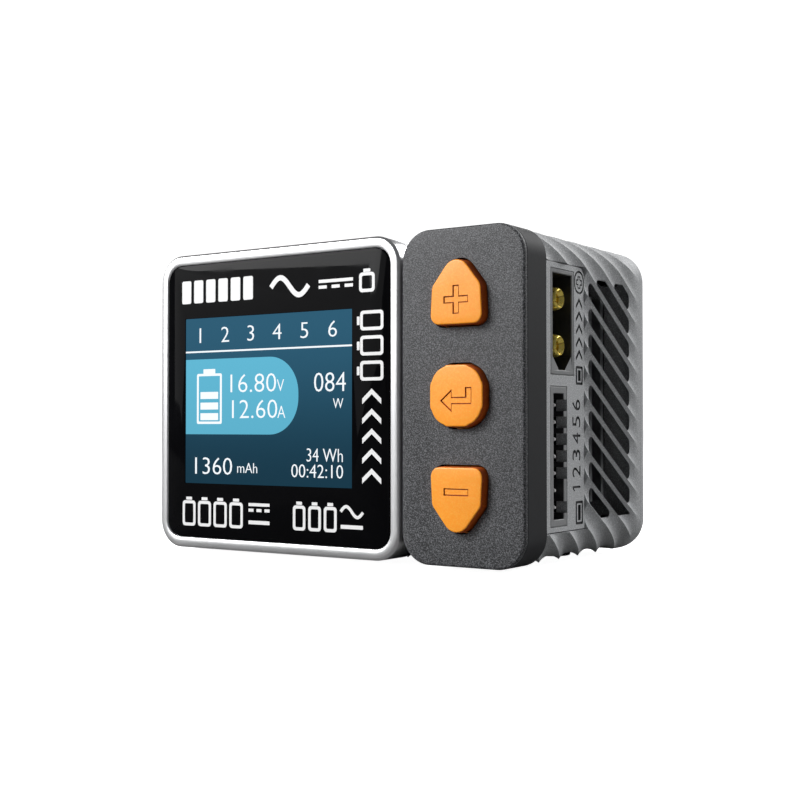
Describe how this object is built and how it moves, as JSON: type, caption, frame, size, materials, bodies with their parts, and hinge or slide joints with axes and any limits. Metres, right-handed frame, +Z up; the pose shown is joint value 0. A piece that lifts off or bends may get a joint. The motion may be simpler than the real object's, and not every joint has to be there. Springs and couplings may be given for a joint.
{
  "type": "balance battery charger",
  "caption": "Small desktop balance charger with a square display, a keypad slab, a ribbed vented housing, battery sockets at the side and a mains inlet and fan at the rear.",
  "frame": {"origin": "on the floor under the middle of the charger, at the bottom of its rubber feet", "axes": "+Z up, the display and the buttons face -Y, +X is to the right as a person in front sees it"},
  "size_m": [0.0708, 0.0444, 0.0495],
  "materials": {
    "bezel_metal": "brushed and polished",
    "display_glass": "polished, black behind",
    "lcd": "smooth",
    "white_reflector": "smooth",
    "circuit_board": "solder mask",
    "keypad_texture": "spark eroded",
    "keypad_plastic": "satin",
    "button_orange": "satin, fine grain",
    "housing_plastic": "fine metallic grain",
    "screw_steel": "blackened",
    "socket_steel": "plated",
    "socket_black": "moulded",
    "contact_gold": "gold plated",
    "foot_rubber": "matte",
    "ribbon_white": "smooth",
    "ferrite": "ground",
    "copper_winding": "enamelled wire",
    "chip_black": "moulded",
    "heatsink_metal": "extruded",
    "capacitor_sleeve": "shrink sleeve",
    "filter_yellow": "moulded",
    "lead_insulation": "smooth",
    "fan_plastic": "moulded"
  },
  "bodies": {
    "housing": {"balance_header": "socket_black", "balance_pins": "contact_gold", "board_feet": "socket_black", "board_spacers": "contact_gold", "bulk_capacitors": "capacitor_sleeve", "button_board": "circuit_board", "buzzer": "chip_black", "controller_chip": "chip_black", "cover_screws": "screw_steel", "display_bezel": "bezel_metal", "display_board": "circuit_board", "display_glass": "display_glass", "display_ribbon": "ribbon_white", "fan_frame": "fan_plastic", "fan_screws": "screw_steel", "filter_capacitor": "filter_yellow", "heatsink": "heatsink_metal", "keypad_faceplate": "keypad_texture", "keypad_shell": "keypad_plastic", "lcd_backlight": "white_reflector", "lcd_panel": "lcd", "left_port_panel": "housing_plastic", "line_choke": "ferrite", "line_fuse": "white_reflector", "main_board": "circuit_board", "main_housing": "housing_plastic", "mains_inlet": "socket_black", "mains_leads": "lead_insulation", "mains_pins": "socket_steel", "mosfets": "chip_black", "output_contacts": "contact_gold", "output_socket": "socket_black", "power_board": "circuit_board", "power_inductors": "ferrite", "rear_cover": "housing_plastic", "right_port_panel": "housing_plastic", "rubber_feet": "foot_rubber", "supply_contacts": "contact_gold", "supply_socket": "socket_black", "tact_switch_down": "chip_black", "tact_switch_enter": "chip_black", "tact_switch_up": "chip_black", "transformer_core": "ferrite", "transformer_winding": "copper_winding", "usb_board": "circuit_board", "usb_c_shell": "socket_steel", "usb_c_tongue": "socket_black"},
    "up_button": {"button_up": "button_orange", "switch_plunger_up": "white_reflector"},
    "enter_button": {"button_enter": "button_orange", "switch_plunger_enter": "white_reflector"},
    "down_button": {"button_down": "button_orange", "switch_plunger_down": "white_reflector"},
    "fan_wheel": {"fan_rotor": "fan_plastic", "fan_shaft": "socket_steel"}
  },
  "joints": [
    {"name": "up_button_press", "type": "slide", "parent": "housing", "child": "up_button", "axis": [0, 1, 0], "range_m": [0, 0.0003], "stiffness_N_per_m": 30, "springref_m": -0.0005},
    {"name": "enter_button_press", "type": "slide", "parent": "housing", "child": "enter_button", "axis": [0, 1, 0], "range_m": [0, 0.0003], "stiffness_N_per_m": 30, "springref_m": -0.0005},
    {"name": "down_button_press", "type": "slide", "parent": "housing", "child": "down_button", "axis": [0, 1, 0], "range_m": [0, 0.0003], "stiffness_N_per_m": 30, "springref_m": -0.0005},
    {"name": "fan_spin", "type": "hinge", "parent": "housing", "child": "fan_wheel", "pos_m": [0.014, 0.0157, 0.0266], "axis": [0, 1, 0], "continuous": true}
  ]
}
